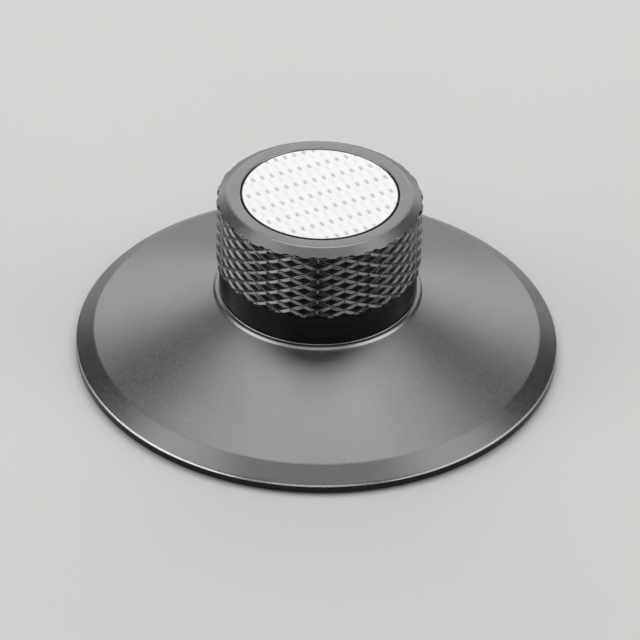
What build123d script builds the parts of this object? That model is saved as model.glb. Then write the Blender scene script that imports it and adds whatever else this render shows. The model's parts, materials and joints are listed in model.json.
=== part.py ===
from build123d import *
from math import asin, ceil, cos, pi, radians, sin, sqrt, tan
import os

os.makedirs("parts", exist_ok=True)

# A record weight: a solid aluminium puck, turned from bar, that drops over a spindle and presses down
# by its own weight. Millimetres, with +Z up and the origin on the axis, on the plane it stands on.

# Overall sizes
base_diameter = 80.0
overall_height = 30.5

# Base, from the edge in: an upright rim, a bevel, a long low cone, and a fine collar at the knob's foot
rim_height = 1.4
rim_edge_break = 0.2
rim_lower_break = 0.3
outer_bevel_width = 3.0
outer_bevel_rise = 1.95
cone_rise = 7.9
collar_chamfer = 0.38
collar_land = 0.55

# Knob: a plain skirt below, a knurled grip above, and a bevel round the top
skirt_diameter = 32.6
grip_diameter = 33.6
grip_height = 11.75
top_bevel_width = 1.85
top_bevel_drop = 1.05

# Knurl: V grooves of both hands cross and leave wide diamonds with flat tops
groove_starts = 24
diamond_height = 2.03
diamond_flat_share = 0.45
groove_depth = 0.3
first_row_height = 0.35

# Inlay: a thin round plate that lies flush in a recess in the knob's top
inlay_diameter = 25.6
inlay_thickness = 1.0
inlay_clearance = 0.15

# Spindle hole: drilled blind from below, with a lead-in at its mouth
spindle_diameter = 7.2
spindle_clearance = 0.1
spindle_wall_length = 14.0
spindle_lead_in = 1.0
drill_point_angle = 118.0

# Underside: a shallow relief in the middle, and a soft ring in a groove that the weight stands on
pad_rim_inset = 1.5
pad_width = 7.0
pad_thickness = 1.1
pad_proud = 0.4
pad_clearance = 0.15
relief_land = 2.5
relief_depth = 1.0

# Radii and heights that follow from the sizes above
base_radius = base_diameter / 2
skirt_radius = skirt_diameter / 2
grip_radius = grip_diameter / 2
groove_radius = grip_radius - groove_depth
recess_radius = inlay_diameter / 2 + inlay_clearance
spindle_hole_radius = spindle_diameter / 2 + spindle_clearance
cone_foot_radius = base_radius - outer_bevel_width
collar_radius = skirt_radius + collar_land
cone_top_radius = collar_radius + collar_chamfer
top_edge_radius = grip_radius - top_bevel_width
pad_outer_radius = base_radius - pad_rim_inset
pad_inner_radius = pad_outer_radius - pad_width
relief_radius = pad_inner_radius - relief_land

underside_z = pad_proud
rim_top_z = underside_z + rim_height
cone_foot_z = rim_top_z + outer_bevel_rise
cone_top_z = cone_foot_z + cone_rise
collar_z = cone_top_z + collar_chamfer
top_bevel_z = overall_height - top_bevel_drop
grip_foot_z = top_bevel_z - grip_height
relief_z = underside_z + relief_depth
spindle_wall_z = relief_z + spindle_lead_in
spindle_end_z = spindle_wall_z + spindle_wall_length
drill_tip_z = spindle_end_z + spindle_hole_radius / tan(radians(drill_point_angle / 2))

# The grip's lattice: neighbouring columns are half a diamond apart round the knob, and neighbouring
# rows are half a diamond apart in height. It runs past both ends of the grip, to be turned back later.
column_angle = pi / groove_starts
row_rise = diamond_height / 2
lowest_row_z = grip_foot_z + first_row_height - 2 * row_rise
row_count = ceil((overall_height + row_rise - lowest_row_z) / row_rise)


# A diamond's flat top takes a share of its width. Its height is the one that keeps the four corners of
# each flank in one plane, from the flat down to the bottoms of the grooves.
diamond_half_width = groove_radius * sin(column_angle)
flat_half_width = diamond_flat_share * diamond_half_width
flat_distance = sqrt(grip_radius**2 - flat_half_width**2)
side_lean = flat_half_width * (flat_distance - groove_radius * cos(column_angle))
end_lean = (diamond_half_width - flat_half_width) * (flat_distance - groove_radius)
flat_columns = asin(flat_half_width / grip_radius) / column_angle
flat_rows = side_lean / (side_lean + end_lean)


def lattice_point(column, row, radius):
    turn = column * column_angle
    return Vector(radius * cos(turn), radius * sin(turn), lowest_row_z + row * row_rise)


def facet(*corners):
    return Face(Wire.make_polygon(corners))


# Each diamond is its flat top and one flank per side, down to the bottoms of the grooves round it
facets = []
for row in range(row_count):
    for diamond in range(groove_starts):
        column = 2 * diamond + row % 2
        top = [
            lattice_point(column + flat_columns, row, grip_radius),
            lattice_point(column, row + flat_rows, flat_distance),
            lattice_point(column - flat_columns, row, grip_radius),
            lattice_point(column, row - flat_rows, flat_distance),
        ]
        foot = [
            lattice_point(column + 1, row, groove_radius),
            lattice_point(column, row + 1, groove_radius),
            lattice_point(column - 1, row, groove_radius),
            lattice_point(column, row - 1, groove_radius),
        ]
        facets.append(facet(*top))
        for side in range(len(foot)):
            facets.append(facet(top[side - 1], foot[side - 1], foot[side], top[side]))

# A fan of facets from the axis closes the drum at each end
for row, outward in ((0, -1), (row_count - 1, 1)):
    hub = lattice_point(0, row + outward, 0)
    for diamond in range(groove_starts):
        column = 2 * diamond + row % 2
        tip = lattice_point(column, row + outward, groove_radius)
        left = lattice_point(column - 1, row, groove_radius)
        right = lattice_point(column + 1, row, groove_radius)
        facets += [facet(hub, left, tip), facet(hub, tip, right)]

knurled_drum = Solid(Shell(facets))

# The weight itself, one turning: the knurled knob and the cone are the same piece of metal
with BuildPart() as turned_body:
    add(knurled_drum)

    # The grip's lower end is faced off and the bevel is turned through the knurl round its top. The
    # bevel's own slope, carried down to the grip's foot, clears the diamonds.
    bevel_reach = grip_height * top_bevel_width / top_bevel_drop
    with BuildSketch(Plane.XZ):
        with BuildLine():
            Polyline(
                (0, grip_foot_z),
                (grip_radius + bevel_reach, grip_foot_z),
                (top_edge_radius, overall_height),
                (0, overall_height),
                close=True,
            )
        make_face()
    revolve(axis=Axis.Z, mode=Mode.INTERSECT)

    # Rim, bevel, cone, collar and skirt, with the rim's upper edge broken
    with BuildSketch(Plane.XZ) as base_section:
        with BuildLine():
            Polyline(
                (0, underside_z),
                (base_radius - rim_lower_break, underside_z),
                (base_radius, underside_z + rim_lower_break),
                (base_radius, rim_top_z),
                (cone_foot_radius, cone_foot_z),
                (cone_top_radius, cone_top_z),
                (collar_radius, collar_z),
                (skirt_radius, collar_z),
                (skirt_radius, grip_foot_z),
                (0, grip_foot_z),
                close=True,
            )
        make_face()
        rim_edge = base_section.vertices().sort_by_distance((base_radius, rim_top_z))[0]
        chamfer(rim_edge, rim_edge_break)
    revolve(axis=Axis.Z)

    # Recess for the inlay
    with BuildSketch(Plane.XY.offset(overall_height)):
        Circle(recess_radius)
    extrude(amount=-inlay_thickness, mode=Mode.SUBTRACT)

    # Shallow relief underneath, so that only the soft ring bears
    with BuildSketch(Plane.XY.offset(underside_z)):
        Circle(relief_radius)
    extrude(amount=relief_depth, mode=Mode.SUBTRACT)

    # Groove for the soft ring
    with BuildSketch(Plane.XY.offset(underside_z)):
        Circle(pad_outer_radius + pad_clearance)
        Circle(pad_inner_radius - pad_clearance, mode=Mode.SUBTRACT)
    extrude(amount=pad_thickness - pad_proud, mode=Mode.SUBTRACT)

    # Spindle hole with its lead-in and the drill's point
    with BuildSketch(Plane.XZ):
        with BuildLine():
            Polyline(
                (0, relief_z),
                (spindle_hole_radius + spindle_lead_in, relief_z),
                (spindle_hole_radius, spindle_wall_z),
                (spindle_hole_radius, spindle_end_z),
                (0, drill_tip_z),
                close=True,
            )
        make_face()
    revolve(axis=Axis.Z, mode=Mode.SUBTRACT)

turned_body.part.label = "turned_body"
export_step(turned_body.part, "parts/turned_body.step")

# The inlay plate, glued in its recess, level with the knob's top
with BuildPart() as top_inlay:
    with BuildSketch(Plane.XY.offset(overall_height)):
        Circle(inlay_diameter / 2)
    extrude(amount=-inlay_thickness)

top_inlay.part.label = "top_inlay"
export_step(top_inlay.part, "parts/top_inlay.step")

# The soft ring that the weight stands on, pressed into its groove and standing a little proud
with BuildPart() as pad_ring:
    with BuildSketch():
        Circle(pad_outer_radius)
        Circle(pad_inner_radius, mode=Mode.SUBTRACT)
    extrude(amount=pad_thickness)

pad_ring.part.label = "pad_ring"
export_step(pad_ring.part, "parts/pad_ring.step")
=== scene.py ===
import json
from math import atan2, ceil, cos, exp, hypot, pi, radians, sin, sqrt, tan

import bmesh
import bpy
from mathutils import Matrix, Vector


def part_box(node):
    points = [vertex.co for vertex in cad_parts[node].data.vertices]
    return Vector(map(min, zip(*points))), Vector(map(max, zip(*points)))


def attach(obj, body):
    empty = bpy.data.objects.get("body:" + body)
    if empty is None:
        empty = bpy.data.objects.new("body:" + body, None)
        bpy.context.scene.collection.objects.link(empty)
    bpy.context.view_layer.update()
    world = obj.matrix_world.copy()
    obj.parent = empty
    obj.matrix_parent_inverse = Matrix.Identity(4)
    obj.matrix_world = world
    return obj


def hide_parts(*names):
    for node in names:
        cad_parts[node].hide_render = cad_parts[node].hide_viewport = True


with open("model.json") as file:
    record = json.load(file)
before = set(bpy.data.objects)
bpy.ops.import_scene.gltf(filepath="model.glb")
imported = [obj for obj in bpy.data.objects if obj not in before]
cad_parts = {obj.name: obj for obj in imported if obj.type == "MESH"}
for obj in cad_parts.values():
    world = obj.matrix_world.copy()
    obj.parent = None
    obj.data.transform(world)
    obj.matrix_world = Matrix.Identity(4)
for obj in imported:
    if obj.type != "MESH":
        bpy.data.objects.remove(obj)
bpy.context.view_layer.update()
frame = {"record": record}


# The turned body: one piece of aluminium bar, turned to a low cone with a knob on it, knurled round the
# grip, bead-blasted and black anodised. It takes its outer sizes from the solid that it stands for.
mm = 0.001
body_low, body_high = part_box("turned_body")
inlay_low, inlay_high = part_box("top_inlay")
pad_low, pad_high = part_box("pad_ring")

rim_height = 1.4 * mm
outer_bevel_width = 3.0 * mm
outer_bevel_rise = 1.95 * mm
cone_rise = 7.9 * mm
collar_chamfer = 0.38 * mm
collar_land = 0.55 * mm
skirt_radius = 16.3 * mm
grip_radius = 16.8 * mm
grip_height = 11.75 * mm
top_bevel_width = 1.85 * mm
top_bevel_drop = 1.05 * mm

base_radius = body_high.x
cone_foot_radius = base_radius - outer_bevel_width
collar_radius = skirt_radius + collar_land
cone_top_radius = collar_radius + collar_chamfer
top_edge_radius = grip_radius - top_bevel_width
underside = body_low.z
rim_top = underside + rim_height
cone_foot = rim_top + outer_bevel_rise
cone_top = cone_foot + cone_rise
collar_top = cone_top + collar_chamfer
knob_top = body_high.z
grip_foot = knob_top - top_bevel_drop - grip_height

# The knurl is two sets of V grooves, one of each hand, that cross and leave wide diamonds with flat tops. A
# diamond is drawn as nested rings of points, from its flat over a rounded edge to the floor of the grooves.
# The shares are parts of the way from the middle of the flat to the middle of the groove.
diamonds_round = 24
diamond_height = 2.03 * mm
first_row_rise = 0.35 * mm
groove_depth = 0.3 * mm
flat_share = 0.5
edge_share = 0.05
floor_share = 0.1
middle_share = (flat_share + 1) / 2
edge_shares = (flat_share - edge_share, flat_share, flat_share + edge_share)
floor_shares = (1 - floor_share, 1 - floor_share / 2, 1)
side_shares = (0, 0.1, 0.5, 0.9)
first_row = grip_foot + first_row_rise
groove_radius = grip_radius - groove_depth
half_turn = pi / diamonds_round
row_rise = diamond_height / 2


def diamond_radius(share):
    """Radius of a diamond at this share of the way from its flat to the groove."""
    sunk = share - flat_share
    if sunk < edge_share:
        sunk = max(0, sunk + edge_share) ** 2 / (4 * edge_share)
    if share > 1 - floor_share:
        sunk -= (share - 1 + floor_share) ** 2 / (2 * floor_share)
    return grip_radius - groove_depth * sunk / (1 - flat_share)


def on_axis(radius, turn, height):
    """The point at this radius, turn and height round the turning axis."""
    return Vector((radius * cos(turn), radius * sin(turn), height))


# Finishes by number. The paler flanks and edge breaks are painted highlight, and the black flats and steep
# walls are painted shade.
blasted, shaded_wall, highlit_flank, shaded_flat, highlit_break = range(5)
body = bmesh.new()
row_count = ceil((knob_top + row_rise - first_row) / row_rise)
tips = ((half_turn, 0), (0, row_rise), (-half_turn, 0), (0, -row_rise))
for row in range(-1, row_count):
    for diamond in range(diamonds_round):
        turn = (2 * diamond + row % 2) * half_turn
        height = first_row + row * row_rise
        inner = [body.verts.new(on_axis(grip_radius, turn, height))]
        for share in (*edge_shares, middle_share, *floor_shares):
            ring = []
            for (turn_a, rise_a), (turn_b, rise_b) in zip(tips, tips[1:] + tips[:1]):
                for side in side_shares:
                    turn_here = turn + share * (turn_a + (turn_b - turn_a) * side)
                    height_here = height + share * (rise_a + (rise_b - rise_a) * side)
                    ring.append(body.verts.new(on_axis(diamond_radius(share), turn_here, height_here)))
            for k, point in enumerate(ring):
                if len(inner) == 1:
                    body.faces.new((inner[0], ring[k - 1], point)).material_index = shaded_flat
                else:
                    body.faces.new((inner[k - 1], ring[k - 1], point, inner[k])).material_index = highlit_flank
            inner = ring
shared_point = 0.001 * mm
bmesh.ops.remove_doubles(body, verts=body.verts, dist=shared_point)


# The grip's foot is faced off square, and the top bevel is turned through the knurl, which leaves a
# scalloped edge. Leaning the mesh by the bevel's own slope makes that cone a flat plane to cut with.
def cut(mesh, height, **side):
    """Cuts a mesh level at a height and clears the side that is named."""
    everything = mesh.verts[:] + mesh.edges[:] + mesh.faces[:]
    bmesh.ops.bisect_plane(mesh, geom=everything, plane_co=(0, 0, height), plane_no=(0, 0, 1), **side)


bevel_slope = top_bevel_drop / top_bevel_width
cut(body, grip_foot, clear_inner=True)
for point in body.verts:
    point.co.z += bevel_slope * point.co.xy.length
cut(body, knob_top + bevel_slope * top_edge_radius, clear_outer=True)
for point in body.verts:
    point.co.z -= bevel_slope * point.co.xy.length
cut_sliver = 0.002 * mm
bmesh.ops.remove_doubles(body, verts=body.verts, dist=cut_sliver)
grip_middle = (grip_foot + knob_top) / 2
open_edge = sorted((p for p in body.verts if p.is_boundary), key=lambda p: atan2(p.co.y, p.co.x))
grip_upper_edge = [p for p in open_edge if p.co.z > grip_middle]
grip_lower_edge = [p for p in open_edge if p.co.z < grip_middle]


# Everything else is turned: an outline of corners, each with its edge round, carried round the axis from
# one of the grip's open edges in to the axis. A long run gets a ring beside each of its ends, which keeps
# the smooth shading of a round from spreading over the faces next to it.
arc_step = radians(31)
edge_margin = 0.3 * mm
margin_of_a_long_run = 0.3


def outline(*corners):
    """Points of (radius, height) along an outline whose corners are (radius, height, round)."""
    points = [Vector(corners[0][:2])]
    for before, corner, after in zip(corners, corners[1:], corners[2:]):
        here = Vector(corner[:2])
        back = (Vector(before[:2]) - here).normalized()
        onward = (Vector(after[:2]) - here).normalized()
        half_angle = back.angle(onward) / 2
        reach = corner[2] / tan(half_angle)
        middle = here + (back + onward).normalized() * corner[2] / sin(half_angle)
        steps = ceil((pi - 2 * half_angle) / arc_step)
        for step in range(steps + 1):
            spoke = (here + back * reach).lerp(here + onward * reach, step / steps) - middle
            points.append(middle + spoke.normalized() * corner[2])
    points.append(Vector(corners[-1][:2]))
    spaced = points[:1]
    for start, end in zip(points, points[1:]):
        margin = edge_margin / max((end - start).length, edge_margin)
        if margin < margin_of_a_long_run:
            spaced += [start.lerp(end, margin), end.lerp(start, margin)]
        spaced.append(end)
    return spaced


def turn_on_lathe(mesh, edge, points, tip_height):
    """Carries a closed edge of vertices through rings at these points, to a tip on the axis."""
    turns = [atan2(p.co.y, p.co.x) for p in edge]
    for radius, height in points:
        ring = [mesh.verts.new(on_axis(radius, turn, height)) for turn in turns]
        for k in range(len(ring)):
            mesh.faces.new((edge[k - 1], edge[k], ring[k], ring[k - 1]))
        edge = ring
    tip = mesh.verts.new((0, 0, tip_height))
    for k in range(len(edge)):
        mesh.faces.new((edge[k - 1], edge[k], tip))


soft_edge = 0.3 * mm
recess_edge = 0.2 * mm
crisp_edge = 0.1 * mm
tool_nose = 0.05 * mm
inlay_gap = 0.15 * mm
recess_radius = inlay_high.x + inlay_gap
recess_floor = inlay_low.z
bevel_start_radius = groove_radius - crisp_edge
bevel_start = knob_top - bevel_slope * (bevel_start_radius - top_edge_radius)
knob_top_outline = outline(
    (bevel_start_radius, bevel_start),
    (top_edge_radius, knob_top, soft_edge),
    (recess_radius, knob_top, recess_edge),
    (recess_radius, recess_floor, tool_nose),
    (recess_radius / 2, recess_floor),
)
turn_on_lathe(body, grip_upper_edge, knob_top_outline, recess_floor)

# Below the grip come the skirt, the collar, the cone, the bevel and the rim. Underneath are the groove for
# the soft ring, a shallow relief and the drilled hole, which a lead-in opens.
knurl_run_out = 0.2 * mm
collar_edge = 0.35 * mm
rim_break = 0.2 * mm
outer_bevel_lean = atan2(outer_bevel_rise, outer_bevel_width)
rim_break_in = rim_break * cos(outer_bevel_lean)
rim_break_up = rim_break * sin(outer_bevel_lean)
pad_gap = 0.15 * mm
pad_width = 7.0 * mm
pad_inner_radius = pad_high.x - pad_width
relief_land = 2.5 * mm
relief_depth = 1.0 * mm
relief_radius = pad_inner_radius - relief_land
relief = underside + relief_depth
hole = next(m for m in frame["record"]["mounts"] if m["name"] == "spindle_hole")
hole_radius = hole["dims"]["r_mm"] * mm
lead_in = 1.0 * mm
hole_end = relief + lead_in + hole["dims"]["length_mm"] * mm
drill_angle = radians(118)
drill_tip = hole_end + hole_radius / tan(drill_angle / 2)
base_outline = outline(
    (groove_radius - tool_nose, grip_foot),
    (skirt_radius, grip_foot - knurl_run_out, crisp_edge),
    (skirt_radius, collar_top, crisp_edge),
    (collar_radius, collar_top, collar_edge),
    (cone_top_radius, cone_top, crisp_edge),
    (cone_foot_radius, cone_foot, soft_edge),
    (base_radius - rim_break_in, rim_top + rim_break_up, tool_nose),
    (base_radius, rim_top - rim_break, tool_nose),
    (base_radius, underside, crisp_edge),
    (pad_high.x + pad_gap, underside, crisp_edge),
    (pad_high.x + pad_gap, pad_high.z, tool_nose),
    (pad_inner_radius - pad_gap, pad_high.z, tool_nose),
    (pad_inner_radius - pad_gap, underside, crisp_edge),
    (relief_radius, underside, crisp_edge),
    (relief_radius, relief, crisp_edge),
    (hole_radius + lead_in, relief, crisp_edge),
    (hole_radius, relief + lead_in, crisp_edge),
    (hole_radius, hole_end, crisp_edge),
    (hole_radius / 2, (hole_end + drill_tip) / 2),
)
turn_on_lathe(body, grip_lower_edge, base_outline, drill_tip)

# Of what is turned, only the faces that look up or down are blasted. The narrow edge breaks of the collar
# and the rim get a painted highlight, and steep walls and the mouth of the hole get painted shade.
bmesh.ops.recalc_face_normals(body, faces=body.faces)
steepest_blasted = radians(40)
steepest_break = radians(80)
for face in body.faces:
    if face.material_index == blasted and abs(face.normal.z) < cos(steepest_blasted):
        face.material_index = highlit_break if face.normal.z > cos(steepest_break) else shaded_wall


def make_piece(name, mesh, sharp_angle, *materials):
    """Makes the object of a finished mesh, smooth but for the edges that bend more than this angle."""
    bmesh.ops.recalc_face_normals(mesh, faces=mesh.faces)
    data = bpy.data.meshes.new(name)
    mesh.to_mesh(data)
    mesh.free()
    data.shade_smooth()
    data.set_sharp_from_angle(angle=sharp_angle)
    for material in materials:
        data.materials.append(material)
    piece = bpy.data.objects.new(name, data)
    bpy.context.scene.collection.objects.link(piece)
    return piece


def linear(hex_colour):
    """An sRGB hex colour as linear RGBA."""
    channels = [int(hex_colour[k:k + 2], 16) / 255 for k in (1, 3, 5)]
    return [c / 12.92 if c <= 0.04045 else ((c + 0.055) / 1.055) ** 2.4 for c in channels] + [1]


def add_node(tree, kind, inputs=None, **settings):
    """Adds a node with its settings. An input is a value, or the output socket that feeds it."""
    node = tree.nodes.new(kind)
    for name, value in settings.items():
        setattr(node, name, value)
    for name, value in (inputs or {}).items():
        if isinstance(value, bpy.types.NodeSocket):
            tree.links.new(value, node.inputs[name])
        else:
            node.inputs[name].default_value = value
    return node


def new_material(name):
    """A node material with nothing in it yet, and its node tree."""
    material = bpy.data.materials.new(name)
    material.use_nodes = True
    material.node_tree.nodes.clear()
    return material, material.node_tree


# Every anodised finish has its own grain, and under it a faint cloud where the dye is thicker and thinner.
# A Mix node's colour sockets share their names with its other sockets, so they go by number.
dye_cloud = 9 * mm
cloud_share = 0.4
fleck_low = 0.3
fleck_high = 0.7
colour_a = 6
colour_b = 7
colour_out = 2


def anodised(name, grain, depth, dark, light, smooth, rough):
    """Black anodised aluminium. Its grain, sized along X, Y and Z, moves its colour, roughness and height.
    """
    material, tree = new_material(name)
    place = add_node(tree, "ShaderNodeTexCoord").outputs["Object"]
    sized = add_node(tree, "ShaderNodeMapping", {"Vector": place, "Scale": [1 / size for size in grain]})
    noise = add_node(
        tree,
        "ShaderNodeTexNoise",
        {"Vector": sized.outputs["Vector"], "Scale": 1, "Detail": 2},
    )
    fleck = noise.outputs["Fac"]
    cloud = add_node(tree, "ShaderNodeTexNoise", {"Vector": place, "Scale": 1 / dye_cloud, "Detail": 3})
    blend = add_node(tree, "ShaderNodeMix", {"Factor": cloud_share, "A": fleck, "B": cloud.outputs["Fac"]})
    # The colour is the dye's own tone, and on the knurl, the edge breaks and the steep walls its level is
    # also painted highlight or painted shade.
    dye_and_painted_tone = add_node(
        tree,
        "ShaderNodeMix",
        {"Factor": blend.outputs["Result"], colour_a: linear(dark), colour_b: linear(light)},
        data_type="RGBA",
    )
    satin = add_node(
        tree,
        "ShaderNodeMapRange",
        {"Value": fleck, "From Min": fleck_low, "From Max": fleck_high, "To Min": smooth, "To Max": rough},
    )
    bumps = add_node(tree, "ShaderNodeBump", {"Strength": 0.5, "Distance": depth, "Height": fleck})
    metal = add_node(
        tree,
        "ShaderNodeBsdfPrincipled",
        {
            "Base Color": dye_and_painted_tone.outputs[colour_out],
            "Metallic": 1.0,
            "Roughness": satin.outputs["Result"],
            "Normal": bumps.outputs["Normal"],
        },
    )
    add_node(tree, "ShaderNodeOutputMaterial", {"Surface": metal.outputs["BSDF"]})
    return material


# Bead-blasted, black anodised aluminium: a dark grey satin metal that spreads a lamp into a wide soft glow.
# The blast is finer than the render shows, so its grain is drawn nearly half a millimetre wide.
blasted_metal = anodised(
    "bead_blasted_black_anodised_aluminium",
    grain=(0.45 * mm, 0.45 * mm, 0.45 * mm),
    depth=0.006 * mm,
    dark="#696a6b",
    light="#8a8a8b",
    smooth=0.3,
    rough=0.37,
)

# Black anodised aluminium on the skirt, the rim and the wall of the hole, with a low sheen. Its near black
# colour is painted shade, for the dark that these steep walls reflect. Its turning marks are drawn coarse,
# as bands a quarter of a millimetre high.
wall_shade_metal = anodised(
    "black_anodised_aluminium_painted_shade_walls",
    grain=(12 * mm, 12 * mm, 0.25 * mm),
    depth=0.002 * mm,
    dark="#272728",
    light="#303031",
    smooth=0.24,
    rough=0.3,
)

# Black anodised aluminium that the knurling wheels have rolled: smoother than the flats between, and
# painted greyer as a painted highlight, so that a lit flank draws a clear thin line. Its faint scuffs are
# drawn half a millimetre wide.
flank_highlight_metal = anodised(
    "black_anodised_aluminium_painted_highlight_flanks",
    grain=(0.5 * mm, 0.5 * mm, 0.5 * mm),
    depth=0.001 * mm,
    dark="#4a4a4b",
    light="#575758",
    smooth=0.14,
    rough=0.2,
)

# Black anodised aluminium on the flats of the knurl, painted blackest of all as painted shade, so that the
# lines between them stand out. Their faint scuffs are drawn half a millimetre wide.
flat_shade_metal = anodised(
    "black_anodised_aluminium_painted_shade_flats",
    grain=(0.5 * mm, 0.5 * mm, 0.5 * mm),
    depth=0.001 * mm,
    dark="#18181a",
    light="#1f1f20",
    smooth=0.22,
    rough=0.28,
)

# Black anodised aluminium on an edge break, painted paler than the faces beside it as a painted highlight,
# so the collar and the rim get fine bright lines. Its flecks are drawn a third of a millimetre wide.
break_highlight_metal = anodised(
    "black_anodised_aluminium_painted_highlight_breaks",
    grain=(0.33 * mm, 0.33 * mm, 0.33 * mm),
    depth=0.001 * mm,
    dark="#949495",
    light="#b4b4b5",
    smooth=0.26,
    rough=0.32,
)

# The finishes stand in the order of the numbers that the faces got above.
body_finishes = (blasted_metal, wall_shade_metal, flank_highlight_metal, flat_shade_metal, break_highlight_metal)
body_sharp_angle = radians(35)
turned_weight = make_piece("turned_weight", body, body_sharp_angle, *body_finishes)
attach(turned_weight, "root")
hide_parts("turned_body")


# The inlay: a thin round plate with a silver-white woven face, glued into its recess. Narrow ribbons run
# across it and sink in turn, neighbours half a wave apart, which draws rows of small oblong dips.
# Reaches and places along a ribbon are in floats, and a ribbon's deep dips are two floats apart.
inlay_radius = inlay_high.x
weave_lean = radians(26)
ribbon_width = 0.84 * mm
float_length = 3.92 * mm
seam_depth = 0.02 * mm
dip_depth = 0.05 * mm
deep_reach = 0.15
shallow_share = 0.24
shallow_place = -0.57
shallow_reach = 0.25
rim_round = 0.2 * mm
grid_steps = 270


def dip_share(x, y):
    """How far the weave has sunk at a place on the face, and how far it lies off its ribbon's middle."""
    along_row = x * cos(weave_lean) + y * sin(weave_lean)
    down_ribbon = x * sin(weave_lean) - y * cos(weave_lean)
    ribbon = round(along_row / ribbon_width)
    off_middle = along_row / ribbon_width - ribbon
    wave = (down_ribbon / float_length + ribbon + 1) % 2 - 1
    deep = exp(-((wave / deep_reach) ** 4))
    shallow = shallow_share * exp(-(((wave - shallow_place) / shallow_reach) ** 2))
    return (deep + shallow) * cos(pi * off_middle), abs(2 * off_middle)


# The face is a square grid drawn out to a round one, and its edge is turned down to the back.
inlay = bmesh.new()
# Each point keeps how far it has sunk, and the sheet's material paints shade into the dips by it.
dip_layer = inlay.verts.layers.float.new("dip")
face_radius = inlay_radius - rim_round
grid = []
for i in range(grid_steps + 1):
    grid.append([])
    for j in range(grid_steps + 1):
        u = 2 * i / grid_steps - 1
        v = 2 * j / grid_steps - 1
        x = face_radius * u * sqrt(1 - v * v / 2)
        y = face_radius * v * sqrt(1 - u * u / 2)
        dip, off_middle = dip_share(x, y)
        edge_fade = min(1, (face_radius - hypot(x, y)) / rim_round)
        height = inlay_high.z - edge_fade * (dip_depth * dip + seam_depth * off_middle**4)
        point = inlay.verts.new((x, y, height))
        point[dip_layer] = dip
        grid[i].append(point)
for i in range(grid_steps):
    for j in range(grid_steps):
        inlay.faces.new((grid[i][j], grid[i + 1][j], grid[i + 1][j + 1], grid[i][j + 1]))
face_edge = sorted((p for p in inlay.verts if p.is_boundary), key=lambda p: atan2(p.co.y, p.co.x))
face_lip = 0.01 * mm
upper_round = 0.9 * rim_round
lower_round = 0.05 * mm
inlay_outline = outline(
    (face_radius + face_lip, inlay_high.z),
    (inlay_radius, inlay_high.z, upper_round),
    (inlay_radius, inlay_low.z, lower_round),
    (inlay_radius / 2, inlay_low.z),
)
turn_on_lathe(inlay, face_edge, inlay_outline, inlay_low.z)
# The rounded edge takes painted shade, for the shadow in the gap round the inlay.
gap_shade_index = 1
for face in inlay.faces:
    if face.calc_center_median().xy.length > face_radius:
        face.material_index = gap_shade_index

# Silver-white woven sheet under a clear face: nearly white, with painted shade as a soft grey in each dip,
# and fine streaks along the ribbons, where the filaments lie. The filaments are drawn a tenth of a
# millimetre apart.
woven, tree = new_material("silver_white_woven_sheet")
place = add_node(tree, "ShaderNodeTexCoord").outputs["Object"]
filament_pitch = 0.1 * mm
filament_run = 3 * mm
along = add_node(tree, "ShaderNodeMapping", {"Vector": place, "Rotation": (0, 0, -weave_lean)})
stretch = add_node(
    tree,
    "ShaderNodeMapping",
    {"Vector": along.outputs["Vector"], "Scale": (1 / filament_pitch, 1 / filament_run, 1)},
)
filament = add_node(
    tree,
    "ShaderNodeTexNoise",
    {"Vector": stretch.outputs["Vector"], "Scale": 1, "Detail": 2},
)
white = add_node(
    tree,
    "ShaderNodeMix",
    {"Factor": filament.outputs["Fac"], colour_a: linear("#e9e9eb"), colour_b: linear("#f4f4f5")},
    data_type="RGBA",
)
# Painted shade: the deeper a point has sunk, the more its white is mixed towards a soft grey.
sunk = add_node(tree, "ShaderNodeAttribute", attribute_name="dip")
dip_painted_shade = add_node(
    tree,
    "ShaderNodeMix",
    {"Factor": sunk.outputs["Fac"], colour_a: white.outputs[colour_out], colour_b: linear("#b8b8bc")},
    data_type="RGBA",
)
sheet = add_node(
    tree,
    "ShaderNodeBsdfPrincipled",
    {"Base Color": dip_painted_shade.outputs[colour_out], "Roughness": 0.35},
)
add_node(tree, "ShaderNodeOutputMaterial", {"Surface": sheet.outputs["BSDF"]})

# Painted shade: the plate's rounded edge is drawn near black, as a fine dark ring for the shadow in the gap
# round the inlay.
gap_shade_material, tree = new_material("painted_gap_shade")
gap_shade_bsdf = add_node(tree, "ShaderNodeBsdfPrincipled", {"Base Color": linear("#1c1c1d"), "Roughness": 0.45})
add_node(tree, "ShaderNodeOutputMaterial", {"Surface": gap_shade_bsdf.outputs["BSDF"]})

inlay_sharp_angle = radians(60)
woven_inlay = make_piece("woven_inlay", inlay, inlay_sharp_angle, woven, gap_shade_material)
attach(woven_inlay, "root")
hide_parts("top_inlay")


# The soft ring: moulded rubber, pressed into its groove under the rim, where it stands a little proud and
# carries the whole weight. Only its lower edge shows.
pad = bmesh.new()
pad_turns = 256
pad_middle_radius = pad_high.x - pad_width / 2
resting_round = 0.15 * mm
seated_round = 0.1 * mm
pad_outline = outline(
    (pad_middle_radius, pad_low.z),
    (pad_high.x, pad_low.z, resting_round),
    (pad_high.x, pad_high.z, seated_round),
    (pad_inner_radius, pad_high.z, seated_round),
    (pad_inner_radius, pad_low.z, resting_round),
    (pad_middle_radius, pad_low.z),
)[:-1]
rings = []
for radius, height in pad_outline:
    rings.append([pad.verts.new(on_axis(radius, 2 * pi * k / pad_turns, height)) for k in range(pad_turns)])
for r in range(len(rings)):
    for k in range(pad_turns):
        pad.faces.new((rings[r - 1][k - 1], rings[r - 1][k], rings[r][k], rings[r][k - 1]))

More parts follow.
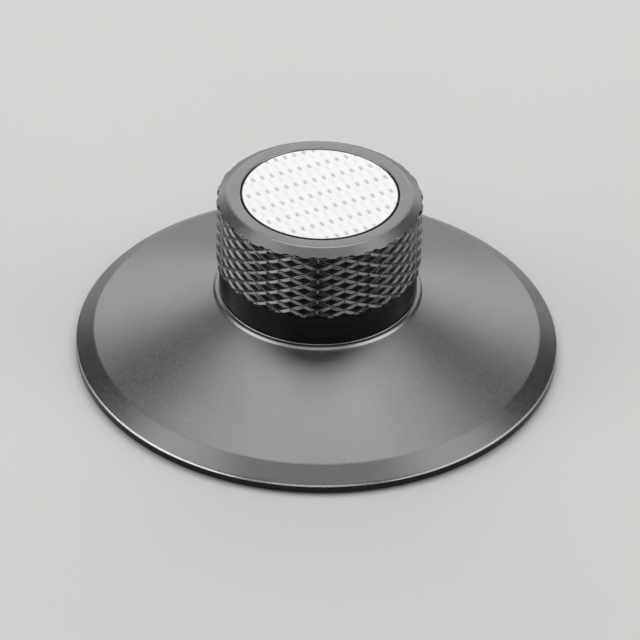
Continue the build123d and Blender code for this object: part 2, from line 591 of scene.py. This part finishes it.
# Matt black rubber from an etched mould: almost no shine, and a fine even grain.
rubber, tree = new_material("moulded_black_rubber")
place = add_node(tree, "ShaderNodeTexCoord").outputs["Object"]
mould_grain = 0.3 * mm
dimple_depth = 0.02 * mm
noise = add_node(tree, "ShaderNodeTexNoise", {"Vector": place, "Scale": 1 / mould_grain, "Detail": 2})
grain = noise.outputs["Fac"]
black = add_node(
    tree,
    "ShaderNodeMix",
    {"Factor": grain, colour_a: linear("#2a2a2a"), colour_b: linear("#363636")},
    data_type="RGBA",
)
dimples = add_node(tree, "ShaderNodeBump", {"Strength": 0.5, "Distance": dimple_depth, "Height": grain})
soft = add_node(
    tree,
    "ShaderNodeBsdfPrincipled",
    {"Base Color": black.outputs[colour_out], "Roughness": 0.8, "Normal": dimples.outputs["Normal"]},
)
add_node(tree, "ShaderNodeOutputMaterial", {"Surface": soft.outputs["BSDF"]})

pad_sharp_angle = radians(50)
soft_ring = make_piece("soft_ring", pad, pad_sharp_angle, rubber)
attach(soft_ring, "root")
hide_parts("pad_ring")


# The studio floor: one wide sheet of pale paper, laid flat, level with the bottom of the soft ring. It is
# staging and not part of the object.
floor_half = 2.0
floor_mesh = bpy.data.meshes.new("floor")
floor_signs = ((-1, -1), (1, -1), (1, 1), (-1, 1))
floor_corners = [(x * floor_half, y * floor_half, pad_low.z) for x, y in floor_signs]
floor_mesh.from_pydata(floor_corners, [], [(0, 1, 2, 3)])
floor = bpy.data.objects.new("floor", floor_mesh)
bpy.context.scene.collection.objects.link(floor)

# Pale matt paper: a plain light grey with no shine, on which the soft shadows show.
paper, tree = new_material("pale_paper")
sweep = add_node(tree, "ShaderNodeBsdfPrincipled", {"Base Color": linear("#cfcecc"), "Roughness": 0.9})
add_node(tree, "ShaderNodeOutputMaterial", {"Surface": sweep.outputs["BSDF"]})
floor_mesh.materials.append(paper)


# Soft studio light: panels high and low behind, at the back corners and at the sides, a low strip at each
# side that rakes the knurl, and two fills in front. A lamp is given by its bearing from the front, its rise
# above the horizon and the angles that it fills, all in degrees, and by its glow.
lamp_distance = 0.9


def softbox(name, bearing, elevation, width, height, glow):
    """An area lamp that faces the object. Its glow is its radiance: 1 is a white sheet in full light."""
    lamp = bpy.data.lights.new(name, "AREA")
    lamp.shape = "RECTANGLE"
    lamp.size = 2 * lamp_distance * tan(radians(width / 2))
    lamp.size_y = 2 * lamp_distance * tan(radians(height / 2))
    lamp.energy = glow * pi * lamp.size * lamp.size_y
    stand = bpy.data.objects.new(name, lamp)
    bpy.context.scene.collection.objects.link(stand)
    flat = lamp_distance * cos(radians(elevation))
    stand.location = (
        flat * sin(radians(bearing)),
        -flat * cos(radians(bearing)),
        lamp_distance * sin(radians(elevation)),
    )
    aim = Vector((0, 0, knob_top / 2)) - stand.location
    stand.rotation_euler = aim.to_track_quat("-Z", "Y").to_euler()


softbox("high_back_panel", bearing=180, elevation=71, width=30, height=26, glow=3.4)
softbox("left_back_panel", bearing=-134, elevation=62, width=22, height=20, glow=1.1)
softbox("right_back_panel", bearing=134, elevation=62, width=22, height=20, glow=1.1)
softbox("low_back_panel", bearing=180, elevation=25, width=68, height=36, glow=1.75)
softbox("left_panel", bearing=-82, elevation=47, width=32, height=42, glow=1.75)
softbox("right_panel", bearing=82, elevation=47, width=32, height=42, glow=1.75)
softbox("left_strip", bearing=-71, elevation=12, width=78, height=14, glow=4.0)
softbox("right_strip", bearing=71, elevation=12, width=78, height=14, glow=2.4)
softbox("high_front_fill", bearing=0, elevation=70, width=34, height=28, glow=0.8)
softbox("low_front_fill", bearing=0, elevation=20, width=40, height=16, glow=1.8)

world = bpy.data.worlds.new("studio")
world.use_nodes = True
world.node_tree.nodes.clear()
air = add_node(world.node_tree, "ShaderNodeBackground", {"Color": linear("#f2f2f2"), "Strength": 0.04})
add_node(world.node_tree, "ShaderNodeOutputWorld", {"Surface": air.outputs["Background"]})
bpy.context.scene.world = world


# The camera stands where the photograph was taken from, about 675 mm away and 37 degrees up, with the same
# slight roll, and has a longer lens so that the object fills the frame.
camera_data = bpy.data.cameras.new("camera")
camera_data.lens = 229
camera_data.sensor_width = 36
camera = bpy.data.objects.new("camera", camera_data)
bpy.context.scene.collection.objects.link(camera)
camera.location = (0, -542.9 * mm, 406.7 * mm)
camera_aim = Vector((0.5 * mm, 0, 5 * mm))
camera_roll = radians(1.43)
look = (camera_aim - camera.location).to_track_quat("-Z", "Y").to_matrix()
camera.rotation_euler = (look @ Matrix.Rotation(camera_roll, 3, "Z")).to_euler()
bpy.context.scene.camera = camera
bpy.context.scene.view_settings.view_transform = "Standard"
